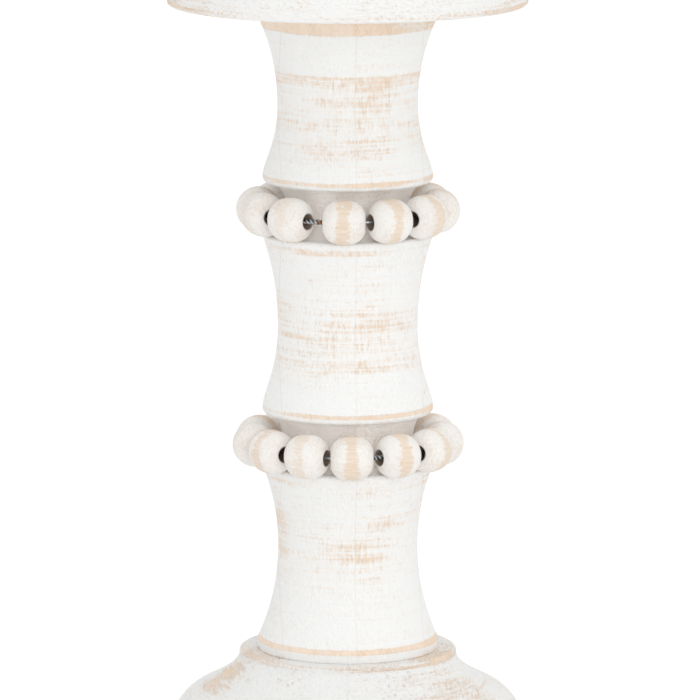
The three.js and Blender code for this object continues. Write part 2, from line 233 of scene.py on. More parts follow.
class Strand:
    """Where one strand's beads and ring are, from its solids."""

    def __init__(self, name):
        self.name = name
        self.nodes = sorted(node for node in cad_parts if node.startswith(f"{name}_bead_"))
        boxes = [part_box(node) for node in self.nodes]
        self.centres = [(low + high) / 2 for low, high in boxes]
        first_low, first_high = boxes[0]
        self.bead_radius = (first_high.z - first_low.z) / 2
        self.height = self.centres[0].z
        self.ring_radius = math.hypot(self.centres[0].x, self.centres[0].y)
        self.angles = [math.atan2(c.x, -c.y) for c in self.centres]

    def closure_angle(self):
        """The middle of the gap between the last bead and the first, where the wire is twisted."""
        gap = (self.angles[0] - self.angles[-1]) % math.tau
        return self.angles[0] - gap / 2

    def lip(self, shaft, overhang):
        """Radius and height of the lip that carries the beads."""
        reach = self.bead_radius + shaft.lip_rounding + CLEARANCE
        outward = overhang + shaft.lip_rounding
        height = self.height + shaft.lip_rounding - math.sqrt(reach**2 - outward**2)
        return self.ring_radius - overhang, height


UPPER = Strand("upper")
LOWER = Strand("lower")


# ---- Outlines, as points of radius and height ----


def line(start, end, step=OUTLINE_STEP):
    """Even points on a straight line."""
    steps = max(1, math.ceil(math.dist(start, end) / step))
    return [tuple(a + (b - a) * i / steps for a, b in zip(start, end)) for i in range(steps + 1)]


def arc(radius, height, bend, start, end):
    """Points on a circle, with angles in degrees from outward (0) to up (90)."""
    turn = math.radians(end - start)
    steps = max(math.ceil(abs(end - start) / ARC_STEP), math.ceil(abs(turn) * bend / OUTLINE_STEP))
    angles = [math.radians(start) + turn * i / steps for i in range(steps + 1)]
    return [(radius + bend * math.cos(a), height + bend * math.sin(a)) for a in angles]


def oval(radius, height, across, up, start, end):
    """Points on an ellipse, with angles as for arc()."""
    steps = math.ceil(math.radians(abs(end - start)) * max(across, up) / OUTLINE_STEP)
    angles = [math.radians(start + (end - start) * i / steps) for i in range(steps + 1)]
    return [(radius + across * math.cos(a), height + up * math.sin(a)) for a in angles]


def bezier(*controls):
    """Points on the curve that these control points draw."""
    order = len(controls) - 1
    steps = math.ceil(sum(math.dist(a, b) for a, b in zip(controls, controls[1:])) / OUTLINE_STEP)
    points = []
    for i in range(steps + 1):
        t = i / steps
        weights = [math.comb(order, k) * t**k * (1 - t) ** (order - k) for k in range(order + 1)]
        points.append(tuple(sum(w * c[axis] for w, c in zip(weights, controls)) for axis in (0, 1)))
    return points


def flare(waist_radius, waist_height, edge_radius, edge_height):
    """A hollow arc from a spool's waist, where it is upright, out to an edge."""
    rise = edge_height - waist_height
    spread = edge_radius - waist_radius
    bend = (rise**2 + spread**2) / (2 * spread)
    turn = math.degrees(math.asin(rise / bend))
    return arc(waist_radius + bend, waist_height, bend, 180, 180 - turn)


def swell(waist_radius, waist_height, edge_radius, edge_height):
    """A hollow curve from the waist that swells out to an upright edge."""
    rise = edge_height - waist_height
    leaving, arriving = 0.56, 0.8  # how far up the curve's two pulls are
    return bezier(
        (waist_radius, waist_height),
        (waist_radius, waist_height + leaving * rise),
        (edge_radius, waist_height + arriving * rise),
        (edge_radius, edge_height),
    )


def groove(shaft, strand, lip):
    """The groove that holds a strand, from the lip below it to the roll above it."""
    lip_radius, lip_height = lip
    rounding, roll = shaft.lip_rounding, shaft.roll_radius
    neck = strand.ring_radius - strand.bead_radius - shaft.neck_clearance
    half = strand.bead_radius + shaft.groove_play / 2
    middle = lip_height + half
    floor = lip_radius - rounding - neck
    roof = lip_radius - roll - neck
    return [
        *arc(lip_radius - rounding, lip_height - rounding, rounding, 0, 90),
        *oval(neck + floor, middle, floor, half, 270, 180),
        *oval(neck + roof, middle, roof, half, 180, 90),
        *arc(lip_radius - roll, middle + half + roll, roll, 270, 360),
    ]


def outline(*stretches):
    """Joins stretches of (radius, height, painted) points, leaving out points that repeat."""
    kept = []
    for point in itertools.chain(*stretches):
        if not kept or math.dist(kept[-1][:2], point[:2]) > TOUCHING:
            kept.append(point)
    return kept


def painted(*stretches):
    """Stretches of an outline whose skin is painted, with straight lines between them."""
    points = []
    for stretch in stretches:
        if points:
            points += line(points[-1], stretch[0])
        points += stretch
    return [(radius, height, True) for radius, height in points]


def bare(*points):
    """Corners of an outline where the wood is left bare."""
    return [(radius, height, False) for radius, height in points]


# ---- Wear along an outline ----

UNPAINTED = 3.0  # sanded so far that no paint can be left


def fade(value, low, high, soft):
    """1 between low and high, falling to 0 over soft on both sides."""
    inside = min(value - low, high - value)
    t = max(0.0, min(1.0, 1 + inside / soft))
    return t * t * (3 - 2 * t)


def sharpness(points, i, reach=0.0012):
    """How much the outline turns outward within reach on both sides of point i, from 0 to 1."""
    here = points[i][:2]
    before, after = i, i
    while before > 0 and math.dist(points[before][:2], here) < reach:
        before -= 1
    while after < len(points) - 1 and math.dist(points[after][:2], here) < reach:
        after += 1
    a = (here[0] - points[before][0], here[1] - points[before][1])
    b = (points[after][0] - here[0], points[after][1] - here[1])
    turn = math.atan2(a[0] * b[1] - a[1] * b[0], a[0] * b[0] + a[1] * b[1])
    return max(0.0, min(1.0, turn / SHARPEST))


def wear_along(points, bands, hollows=()):
    """How far each point is sanded, how sharp its edge is, and how much painted light it gets for lying in a
    hollow, as in WEAR.

    A band is (level, from, to, soft, strength) and a hollow is (low, high, lip radius, depth).
    """
    rows = []
    for i, (radius, height, has_paint) in enumerate(points):
        if not has_paint:
            rows.append((UNPAINTED, 0.0, 0.0))
            continue
        sanded = max(strength * fade(height - level, *reach) for level, *reach, strength in bands)
        hollow_light = 0.0
        for low, high, lip, depth in hollows:
            if low <= height <= high:
                hollow_light = max(hollow_light, min(1.0, (lip - radius) / depth))
        rows.append((sanded, sharpness(points, i), max(0.0, hollow_light)))
    return rows


# ---- Meshes ----


def give_attribute(mesh, name, values):
    layer = mesh.attributes.new(name, "FLOAT", "POINT")
    layer.data.foreach_set("value", values)


def worn_places(turn, height, places):
    """How much more, or less, the given places are sanded.

    A place is (degrees right of the front, height, half its width in degrees, half its rise, strength).
    """
    total = 0.0
    for middle, level, half_turn, half_rise, strength in places:
        off = math.remainder(turn - math.radians(middle), math.tau) / math.radians(half_turn)
        up = (height - level) / half_rise
        total += strength * math.exp(-((off * off + up * up) ** 2))
    return total


def turned_mesh(name, points, wear, segments, unevenness, seed, places=()):
    """Turns an outline round Z. Painted skin is shrunk by a hand-made unevenness, and never grows."""
    loop = math.dist(points[0][:2], points[-1][:2]) < TOUCHING
    if loop:
        points, wear = points[:-1], wear[:-1]
    vertices, rings, values = [], [], []
    for (radius, height, has_paint), row in zip(points, wear):
        count = 1 if radius < TOUCHING else segments
        rings.append((len(vertices), count))
        for j in range(count):
            turn = math.tau * j / segments
            x, y = math.sin(turn), -math.cos(turn)
            shrink = 0.0
            if has_paint:
                around = radius * WAVES_ROUND
                wave = Vector((x * around + seed, y * around, height * WAVES_UP))
                shrink = unevenness * (0.5 + 0.5 * noise.noise(wave))
                around = radius * CHIPS
                chip = Vector((x * around, y * around, height * CHIPS + seed))
                shrink += CHIP_DEPTH * unevenness * row[1] * max(0.0, noise.noise(chip))
            reach = max(0.0, radius - shrink)
            vertices.append((x * reach, y * reach, height))
            more = worn_places(turn, height, places) if has_paint else 0.0
            values.append((row[0] + more, row[1], row[2]))
    faces, coordinates = [], []
    lengths = [0.0]
    for a, b in zip(points, points[1:] + points[:1]):
        lengths.append(lengths[-1] + math.dist(a[:2], b[:2]))
    total = lengths[-1] if loop else lengths[-2]
    for i in range(len(points) if loop else len(points) - 1):
        (low_start, low_count), (high_start, high_count) = rings[i], rings[(i + 1) % len(rings)]
        v_low, v_high = lengths[i] / total, lengths[i + 1] / total
        for j in range(segments):
            k = (j + 1) % segments
            u, w = j / segments, (j + 1) / segments
            corners = [(low_start + j, u, v_low), (low_start + k, w, v_low)]
            if low_count == 1:
                corners = [(low_start, (u + w) / 2, v_low)]
            if high_count == 1:
                corners += [(high_start, (u + w) / 2, v_high)]
            else:
                corners += [(high_start + k, w, v_high), (high_start + j, u, v_high)]
            faces.append([corner[0] for corner in corners])
            coordinates += [value for corner in corners for value in corner[1:]]
    mesh = bpy.data.meshes.new(name)
    mesh.from_pydata(vertices, [], faces, shade_flat=False)
    mesh.uv_layers.new(name="OFBake").data.foreach_set("uv", coordinates)
    for column, name in enumerate(WEAR):
        give_attribute(mesh, name, [row[column] for row in values])
    mesh.set_sharp_from_angle(angle=SHARP_ANGLE)
    mesh.update()
    return mesh


def show(name, mesh, material, body, replaced, placed=Matrix()):
    """Puts a mesh in the scene as a piece that stands for a solid and rides on its body."""
    piece = bpy.data.objects.new(name, mesh)
    piece.matrix_world = placed
    bpy.context.scene.collection.objects.link(piece)
    piece.data.materials.append(material)
    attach(piece, body)
    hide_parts(replaced)


# ---- Finishes ----

WOOD = {"IOR": 1.47, "Metallic": 0.0}
STEEL = {"Metallic": 1.0}
BOARD_SHIFT = (0.2, 0.2, 0.2)  # how far apart two boards' grain is taken from one pattern
SEAM_WIDTH = 0.0003
SEAM_SHADE = 0.35  # how much of a glue line's colour is the colour of the pores
PAINT_RELIEF = 0.0005


def put(tree, kind, inputs=None, **settings):
    """Adds a shader node. Settings are its own options, and inputs are its sockets' values or links.

    A node that is given as an input stands for its first output.
    """
    node = tree.nodes.new(f"ShaderNode{kind}")
    for name, value in settings.items():
        setattr(node, name, value)
    for socket, value in (inputs or {}).items():
        if isinstance(value, bpy.types.Node):
            value = value.outputs[0]
        if isinstance(value, bpy.types.NodeSocket):
            tree.links.new(value, node.inputs[socket])
        else:
            node.inputs[socket].default_value = value
    return node


def rgba(tint):
    """A colour from the settings, or an sRGB hex code, as a socket takes it."""
    return (*(linear(tint) if isinstance(tint, str) else tint), 1.0)


def new_material(name, sockets):
    """A material with one Principled surface, with its tree and the place on the piece."""
    material = bpy.data.materials.new(name)
    material.use_nodes = True
    tree = material.node_tree
    tree.nodes.clear()
    surface = put(tree, "BsdfPrincipled", sockets)
    put(tree, "OutputMaterial", {"Surface": surface})
    return material, tree, surface, put(tree, "TexCoord").outputs["Object"]


def sum_of(tree, *terms):
    """Adds up (value, factor, middle) terms as factor * (value - middle)."""
    total = 0.0
    for value, factor, middle in terms:
        centred = put(tree, "Math", {0: value, 1: factor, 2: -factor * middle}, operation="MULTIPLY_ADD")
        total = put(tree, "Math", {0: centred, 1: total}, operation="ADD")
    return total


def patterns(tree, *rows):
    """One noise for each (place, scale, sockets) row. A scale is in cells for each metre."""
    made = []
    for place, scale, sockets in rows:
        if isinstance(scale, tuple):
            place = put(tree, "Mapping", {"Vector": place, "Scale": scale})
            scale = 1.0
        made.append(put(tree, "TexNoise", {"Vector": place, "Scale": scale, **sockets}))
    return made


def coats(tree, seen, *layers):
    """Lays (share, colour) layers over a first colour. Each is a setting, a hex code or a socket."""
    for share, over in layers:
        pair = [each if isinstance(each, bpy.types.NodeSocket) else rgba(each) for each in (seen, over)]
        seen = put(tree, "Mix", {0: share, 6: pair[0], 7: pair[1]}, data_type="RGBA").outputs[2]
    return seen


def dress(tree, surface, seen, relief, depth, strength, roughness=None):
    """Gives a surface its colour, its relief, and a roughness from (value, low, high, at low, at high)."""
    bump = put(tree, "Bump", {"Height": relief, "Strength": strength, "Distance": depth})
    tree.links.new(seen, surface.inputs["Base Color"])
    tree.links.new(bump.outputs[0], surface.inputs["Normal"])
    if roughness:
        varied = put(tree, "MapRange", dict(enumerate(roughness)))
        tree.links.new(varied.outputs[0], surface.inputs["Roughness"])


def limewashed_pine(name, finish, grain_turn, board_turn, board_width, coarseness, pitting):
    """Pine turned on a lathe, brushed with limewash and sanded back.

    It gives the eye a matt, chalky white with fine lines along the grain, and warm bare wood in
    broken streaks that run round the piece where the sanding cut through, ending at the joints of
    the boards that the blank was glued up from.
    """
    material, tree, surface, place = new_material(name, WOOD)

    # The blank's boards: each has its own grain and takes the sanding in its own way.
    across = put(tree, "Mapping", {"Vector": place, "Rotation": board_turn, "Scale": (1 / board_width,) * 3})
    board = put(tree, "SeparateXYZ", {0: across}).outputs["X"]
    board_number = put(tree, "Math", {0: board}, operation="FLOOR")
    board_draw = put(tree, "TexWhiteNoise", {"W": board_number}, noise_dimensions="1D").outputs
    along = put(tree, "Mapping", {"Vector": place, "Rotation": grain_turn})
    moved = {0: board_draw["Color"], 1: BOARD_SHIFT, 2: along}
    own_place = put(tree, "VectorMath", moved, operation="MULTIPLY_ADD").outputs[0]

    pores, rings, marks, patches, specks, crazing = patterns(
        tree,
        # Pores 0.7 mm apart and 4 mm long: real ones are finer, and are drawn coarser so that they show.
        (own_place, (1300, 1300, 260), {"Detail": 3.0, "Roughness": 0.6}),
        # Growth rings 4 mm apart.
        (own_place, (260, 70, 9), {"Detail": 2.0, "Distortion": 0.4}),
        # Marks of the sanding that run round the piece, 1 mm high and 30 mm long.
        (place, (32, 32, 850), {"Detail": 3.0, "Roughness": 0.65}),
        # Where the sanding pad pressed harder, 10 to 20 mm across.
        (place, (48, 48, 120), {"Detail": 2.0, "Roughness": 0.5}),
        # Brush grit and specks in the paint, 1 mm across.
        (place, (900, 900, 900), {"Detail": 3.0, "Roughness": 0.7}),
        # Chalky places where the paint crazed, 20 mm across.
        (place, (60, 60, 60), {"Detail": 1.0}),
    )
    # In those places, pits 0.8 mm wide and 2 mm apart.
    cells = put(tree, "TexVoronoi", {"Vector": place, "Scale": 520.0})
    pit = put(tree, "MapRange", {0: cells, 1: 0.10, 2: 0.30, 3: pitting, 4: 0.0})
    crazed = put(tree, "MapRange", {0: crazing, 1: 0.46, 2: 0.58})
    pits = put(tree, "Math", {0: pit, 1: crazed}, operation="MULTIPLY")
    # Every other glue line between the boards shows.
    from_seam = put(tree, "Math", {0: board, 1: 1.0}, operation="PINGPONG")
    seam = put(tree, "MapRange", {0: from_seam, 1: 0.0, 2: SEAM_WIDTH / board_width, 3: SEAM_SHADE, 4: 0.0})
    sanded, edge, hollow_light = [put(tree, "Attribute", attribute_name=name).outputs["Fac"] for name in WEAR]

    depth = sum_of(
        tree,
        (sanded, 1.0, 0.0),
        (edge, 0.25, 0.0),
        (marks, 2.0, 0.5),
        (patches, 0.8, 0.5),
        (pores, 1.5, 0.5),
        (specks, 0.6, 0.5),
        (board_draw["Value"], 0.28, 0.5),
    )
    # Dirt and painted shade: the pores, sanding marks, specks and crazed places are darkened in colour where
    # their relief would be in shade.
    sunk = sum_of(tree, (pores, 2.6, 0.55), (specks, 2.6, 0.5), (marks, 1.2, 0.5), (crazing, 1.2, 0.5))
    shares = []
    # How bare the wood is, how thin the paint was wiped, and how much dirt and painted shade lies in the
    # pores and marks.
    for value, start, full, most in (
        (depth, 0.40, 1.0, 0.95),
        (depth, 0.0, 0.8, 0.9),
        (sunk, 0.0, 1.1, 0.42 * coarseness),
    ):
        ends = {0: value, 1: start, 2: full, 3: 0.0, 4: most}
        shares.append(put(tree, "MapRange", ends, interpolation_type="SMOOTHSTEP"))
    bared, thinned, pore_shade_dirt_and_seams = shares
    # Painted light: the grooves and hollows take a lighter paint colour that lifts their shade.
    hollow_light_share = put(tree, "Math", {0: hollow_light, 1: 0.9}, operation="MULTIPLY")
    pore_shade_dirt_and_seams = put(tree, "Math", {0: pore_shade_dirt_and_seams, 1: seam}, operation="MAXIMUM")

    tone = sum_of(tree, (rings, 1.8, 0.3), (pores, 1.4, 0.5), (board_draw["Value"], 0.5, 0.5))
    seen = coats(
        tree,
        finish.paint,
        (thinned, finish.thin_paint),
        (hollow_light_share, finish.painted_hollow_light),
        (pore_shade_dirt_and_seams, finish.pore_dirt_and_shade),
        (pits, finish.dark_wood),
        (bared, coats(tree, finish.wood, (tone, finish.dark_wood))),
    )
    relief = sum_of(
        tree,
        (pores, -1.0, 0.5),
        (marks, 0.4, 0.5),
        (specks, -0.8, 0.5),
        (bared, -0.25, 0.0),
        (pits, -0.9, 0.0),
    )
    dress(tree, surface, seen, relief, PAINT_RELIEF * coarseness, 1.0, (bared, 0.0, 1.0, 0.82, 0.66))
    return material


def limewashed_beads(finish, bore_radius):
    """Pine beads tumbled in limewash, with a belt round the middle sanded bare.

    The paint is smoother and a little darker than the shaft's, and the belt's edges are ragged
    along the grain.
    """
    material, tree, surface, place = new_material("limewashed pine beads", WOOD)
    seed = put(tree, "Attribute", attribute_name="seed").outputs["Fac"]
    belt = put(tree, "Attribute", attribute_name="belt").outputs["Vector"]
    half_width, shift, bareness = put(tree, "SeparateXYZ", {0: belt}).outputs
    along, aside, up = put(tree, "SeparateXYZ", {0: place}).outputs
    own_place = put(tree, "VectorMath", {0: place, 1: seed}, operation="ADD").outputs[0]

    fingers, swells, specks = patterns(
        tree,
        # Grain runs along the hole, so fingers of paint reach into the belt, 0.7 mm wide.
        (own_place, (170, 1300, 1300), {"Detail": 3.0, "Roughness": 0.6}),
        # The belt is wider on one side than on the other.
        (own_place, 110.0, {"Detail": 1.0}),
        # Specks in the paint, 1 mm across.
        (own_place, 1000.0, {"Detail": 3.0, "Roughness": 0.65}),
    )
    # Drops of paint left on the belt, 1.5 mm wide and 5 mm apart.
    drops = put(tree, "TexVoronoi", {"Vector": own_place, "Scale": 190.0})
    drop = put(tree, "MapRange", {0: drops, 1: 0.10, 2: 0.16, 3: -4.0, 4: 0.0})
    from_middle = put(tree, "Math", {0: along, 1: shift}, operation="SUBTRACT")
    from_middle = put(tree, "Math", {0: from_middle}, operation="ABSOLUTE")
    inside = put(tree, "Math", {0: half_width, 1: from_middle}, operation="SUBTRACT")
    depth = sum_of(
        tree,
        (inside, 620.0, 0.0),
        (fingers, 1.8, 0.5),
        (swells, 3.2, 0.5),
        (specks, 1.2, 0.5),
        (drop, 1.0, 0.0),
    )
    ends = {0: depth, 1: -0.3, 2: 0.6, 3: 0.0, 4: 0.85}
    bared = put(tree, "MapRange", ends, interpolation_type="SMOOTHSTEP")
    bared = put(tree, "Math", {0: bared, 1: bareness}, operation="MULTIPLY")
    # The hole is bare wood, darkened further with painted shade, and so is its mouth.
    across = put(tree, "CombineXYZ", {1: aside, 2: up})
    from_axis = put(tree, "VectorMath", {0: across}, operation="LENGTH").outputs["Value"]
    fully_shaded, unshaded = bore_radius + 0.0001, bore_radius + 0.0006
    hole = put(tree, "MapRange", {0: from_axis, 1: fully_shaded, 2: unshaded, 3: 1.0, 4: 0.0})

    tone = sum_of(tree, (fingers, 2.0, 0.3))
    mottling = sum_of(tree, (specks, 2.88, 0.44), (swells, 1.8, 0.42))
    seen = coats(
        tree,
        finish.bead_paint,
        (mottling, finish.bead_shade),
        (bared, coats(tree, finish.belt, (tone, finish.dark_belt))),
        (hole, "7A6858"),
    )
    relief = sum_of(tree, (fingers, 0.5, 0.5), (specks, 0.5, 0.5), (bared, -0.35, 0.0))
    dress(tree, surface, seen, relief, 0.00016, 1.0, (bared, 0.0, 1.0, 0.74, 0.62))
    return material


def galvanised_wire():
    """Drawn steel wire, galvanised: dull grey metal, clouded, with a few brown spots."""
    material, tree, surface, place = new_material("galvanised steel wire", STEEL)
    # Clouds 1.5 mm across and rust 5 mm apart.
    dulled, rust = patterns(tree, (place, 700.0, {"Detail": 3.0}), (place, 210.0, {"Detail": 2.0}))
    rust = put(tree, "MapRange", {0: rust, 1: 0.56, 2: 0.64}, interpolation_type="SMOOTHSTEP")
    seen = coats(tree, "A9ABAD", (dulled, "77797C"), (rust, "8A5A38"))
    dress(tree, surface, seen, dulled, 0.00003, 0.4, (dulled, 0.3, 0.7, 0.28, 0.5))
    return material


def zinc_plated_steel():
    """Steel fixings, machined and zinc plated: bright metal with a faint yellow bloom and turning lines."""
    material, tree, surface, place = new_material("zinc plated steel", STEEL)
    # A bloom 4 mm across, and lines 0.3 mm apart.
    bloom, lines = patterns(tree, (place, 260.0, {"Detail": 3.0}), (place, (60, 60, 3200), {"Detail": 2.0}))
    seen = coats(tree, "C9CBC8", (bloom, "B5AE93"))
    dress(tree, surface, seen, lines, 0.00002, 0.4, (lines, 0.3, 0.7, 0.22, 0.42))
    return material


def bare_beech():
    """Beech dowel, planed and left bare: pinkish tan with short dark flecks along its length."""
    material, tree, surface, place = new_material("bare beech dowel", WOOD)
    # Grain 1 mm wide, and flecks 0.6 mm apart and 3 mm long.
    [grain] = patterns(tree, (place, (900, 900, 60), {"Detail": 3.0}))
    flecks = put(tree, "Mapping", {"Vector": place, "Scale": (1600, 1600, 330)})
    flecks = put(tree, "TexVoronoi", {"Vector": flecks, "Scale": 1.0})
    fleck = put(tree, "MapRange", {0: flecks, 1: 0.12, 2: 0.3, 3: 0.7, 4: 0.0})
    seen = coats(tree, "DDB48C", (grain, "C99A70"), (fleck, "9F7048"))
    dress(tree, surface, seen, grain, 0.00008, 0.5, (grain, 0.3, 0.7, 0.55, 0.7))
    return material


def pressed_felt():
    """Wool felt, pressed and cut: soft and matt, with tangled fibres and a faint sheen."""
    sockets = {"IOR": 1.5, "Metallic": 0.0, "Roughness": 0.95, "Sheen Weight": 0.35, "Sheen Roughness": 0.5}
    material, tree, surface, place = new_material("pressed wool felt", sockets)
    tangle, cloud = patterns(
        tree,
        # Fibres 0.03 mm thick are too fine to show, so the tangle is drawn 0.7 mm wide.
        (place, 1500.0, {"Detail": 4.0, "Roughness": 0.7, "Distortion": 1.8}),
        (place, 120.0, {"Detail": 2.0}),
    )
    tone = sum_of(tree, (tangle, 1.4, 0.3), (cloud, 0.8, 0.5))
    dress(tree, surface, coats(tree, "E2DCD1", (tone, "BFB5A6")), tangle, 0.0003, 0.8)
    return material


# ---- Operators ----


class CANDLESTICK_OT_base(bpy.types.Operator):
    """Turn the bell-shaped base"""

    bl_idname = "candlestick.base"
    bl_label = "Base"

    def execute(self, context):
        base = context.scene.candlestick.base
        shaft = context.scene.candlestick.shaft
        bottom, top = BASE_LOW.z, BASE_HIGH.z
        foot_radius = BASE_HIGH.x
        bell_radius = foot_radius - base.foot_step
        ledge_radius = shaft.flare_radius + base.ledge_width
        foot_top = bottom + base.foot_height
        rounding = base.foot_rounding
        socket = shaft.tenon_radius + CLEARANCE
        paint_end = socket + 0.004  # the paint goes a little way in under the shaft
        web_top = SHAFT_LOW.z - CLEARANCE
        web_bottom = bottom + base.counterbore_depth
        bell_middle = top - base.bell_drop
        top_angle = math.degrees(base.bell_top_angle)
        foot_angle = -math.degrees(base.bell_foot_angle)
        bend = base.bell_rounding
        bell = arc(bell_radius - bend, bell_middle, bend, foot_angle, top_angle)
        bell_top = bell[-1]
        rise = (bell_top[0] - ledge_radius) / math.tan(base.bell_top_angle)
        edge_bottom = top - base.ledge_edge
        hollow = bezier(bell_top, (ledge_radius, bell_top[1] + rise), (ledge_radius, edge_bottom))
        ledge_bend = base.ledge_rounding
        points = outline(
            bare((SCREW_HOLE, web_top), (SCREW_HOLE, web_bottom), (base.counterbore_radius, web_bottom)),
            bare(*line((base.counterbore_radius, bottom), (foot_radius - rounding, bottom), step=0.004)),
            painted(
                arc(foot_radius - rounding, bottom + rounding, rounding, 270, 360),
                arc(foot_radius - rounding, foot_top - rounding, rounding, 0, 90),
                bell,
                hollow,
                arc(ledge_radius - ledge_bend, top - ledge_bend, ledge_bend, 0, 90),
                line((ledge_radius - ledge_bend, top), (paint_end, top), step=0.001),
            ),
            bare((socket, top), (socket, web_top), (SCREW_HOLE, web_top)),
        )
        bands = [
            (top, -0.0017, -0.0009, 0.0004, 0.52),
            (top, -0.0005, 0.001, 0.0004, 0.30),
            (bell_middle, 0.004, 0.016, 0.006, 0.20),
            (foot_top, -0.0022, 0, 0.0006, 0.30),
        ]
        # Places that were sanded more or less than the rest of their ring.
        places = [
            (-76, top - 0.009, 17, 0.006, 0.85),
            (60, top - 0.010, 22, 0.007, 0.42),
            (60, top - 0.001, 30, 0.002, 0.25),
            (-60, top, 26, 0.001, 0.22),
            (-24, top - 0.006, 26, 0.007, -0.35),
            (170, top - 0.012, 40, 0.008, 0.30),
        ]
        # The corner between the foot and the bell gets painted light, a lighter paint that lifts its shade.
        hollows = [(foot_top - 0.0001, foot_top + 0.003, foot_radius, 0.02)]
        wear = wear_along(points, bands, hollows)
        mesh = turned_mesh(
            "bell_base", points, wear, segments=256, unevenness=0.00025, seed=3.0, places=places
        )
        # The grain of so wide a piece lies flat, from front to back, so that the front is end grain.
        material = limewashed_pine(
            "limewashed pine, lying grain",
            context.scene.candlestick.finish,
            grain_turn=(math.radians(84), math.radians(7), 0),
            board_turn=(0, 0, 0),
            board_width=0.037,
            coarseness=1.6,
            pitting=0.45,
        )
        show("bell_base", mesh, material, "stand", "base")
        return {"FINISHED"}


class CANDLESTICK_OT_shaft(bpy.types.Operator):
    """Turn the shaft with its three spools and two grooves"""

    bl_idname = "candlestick.shaft"
    bl_label = "Shaft"

    def execute(self, context):
        shaft = context.scene.candlestick.shaft
        beads = context.scene.candlestick.beads
        seat, top = BASE_HIGH.z, SHAFT_HIGH.z + CLEARANCE
        bottom = SHAFT_LOW.z
        ease = shaft.hidden_end_rounding
        waist, flared = shaft.waist_radius, shaft.flare_radius
        lower_lip = LOWER.lip(shaft, beads.overhang_lower)
        upper_lip = UPPER.lip(shaft, beads.overhang_upper)
        groove_width = 2 * LOWER.bead_radius + shaft.groove_play
        middle_foot = lower_lip[1] + groove_width
        upper_foot = upper_lip[1] + groove_width
        lower_waist = seat + CLEARANCE + shaft.lower_waist
        middle_waist = middle_foot + shaft.middle_waist
        upper_waist = upper_foot + shaft.upper_waist
        lower_flare = seat + CLEARANCE + shaft.collar_height
        upper_flare = SHAFT_HIGH.z - shaft.collar_height
        pilot_top = SCREW_HIGH.z + CLEARANCE
        dowel_floor = DOWEL_LOW.z - CLEARANCE
        tenon = shaft.tenon_radius
        roll = shaft.roll_radius
        lip_rounding = shaft.lip_rounding
        points = outline(
            bare((0, pilot_top), (SCREW_HOLE, pilot_top), (SCREW_HOLE, bottom)),
            bare((tenon, bottom), (tenon, seat)),
            painted(
                line((tenon, seat), (flared - ease, seat), step=0.003),
                arc(flared - ease, seat + ease, ease, 270, 360),
                flare(waist, lower_waist, flared, lower_flare)[::-1],
                flare(waist, lower_waist, lower_lip[0], lower_lip[1] - lip_rounding),
                groove(shaft, LOWER, lower_lip),
                swell(waist, middle_waist, lower_lip[0], middle_foot + roll)[::-1],
                flare(waist, middle_waist, upper_lip[0], upper_lip[1] - lip_rounding),
                groove(shaft, UPPER, upper_lip),
                swell(waist, upper_waist, upper_lip[0], upper_foot + roll)[::-1],
                flare(waist, upper_waist, flared, upper_flare),
                arc(flared - ease, top - ease, ease, 0, 90),
                line((flared - ease, top), (DOWEL_HOLE, top), step=0.003),
            ),
            bare((DOWEL_HOLE, top), (DOWEL_HOLE, dowel_floor), (0, dowel_floor)),
        )
        bands = [
            (seat, 0.0034, 0.0046, 0.0005, 1.3),
            (lower_waist, -0.006, 0.013, 0.008, 0.30),
            (lower_lip[1], -0.0060, -0.003, 0.0020, 0.26),
            (middle_foot, 0.0022, 0.0032, 0.0006, 1.05),
            (middle_waist, -0.012, 0.008, 0.006, 0.38),
            (middle_waist, 0.008, 0.026, 0.003, 0.14),
            (upper_lip[1], -0.0046, -0.0030, 0.0009, 0.72),
            (upper_foot, 0.0018, 0.0028, 0.0006, 1.0),
            (upper_foot, 0.004, 0.014, 0.003, 0.14),
            (upper_waist, -0.014, 0.008, 0.005, 0.44),
            (upper_waist, 0.0085, 0.0116, 0.0012, 0.80),
            (top, -0.0074, 0.001, 0.0014, 1.15),
        ]
        # Places that were sanded more or less than the rest of their ring.
        places = [
            (62, top - 0.004, 34, 0.005, -0.45),
            (-60, upper_foot + 0.002, 30, 0.002, -0.3),
            (70, upper_foot + 0.002, 34, 0.002, -0.35),
            (58, upper_lip[1] - 0.004, 40, 0.003, -0.5),
            (-72, lower_waist + 0.007, 16, 0.012, 0.45),
            (-64, middle_foot + 0.003, 26, 0.002, -0.35),
            (8, upper_waist + 0.003, 30, 0.005, 0.08),
            (-20, top - 0.0065, 50, 0.0025, 0.25),
            (14, middle_waist + 0.002, 34, 0.007, 0.12),
            (12, lower_waist + 0.002, 32, 0.005, 0.2),
        ]
        # Both grooves get painted light, a lighter paint that lifts their shade, fully so from a little way
        # in.
        outside, full_depth = 0.001, 0.006
        hollows = [
            (lower_lip[1], middle_foot, lower_lip[0] + outside, full_depth),
            (upper_lip[1], upper_foot, upper_lip[0] + outside, full_depth),
        ]
        wear = wear_along(points, bands, hollows)
        mesh = turned_mesh(
            "turned_spindle", points, wear, segments=192, unevenness=0.00018, seed=11.0, places=places
        )
        material = limewashed_pine(
            "limewashed pine, upright grain",
            context.scene.candlestick.finish,
            grain_turn=(0, 0, math.radians(20)),
            board_turn=(0, 0, math.radians(-6)),
            board_width=0.0125,
            coarseness=1.0,
            pitting=0.15,
        )
        show("turned_spindle", mesh, material, "stand", "turned_shaft")
        return {"FINISHED"}


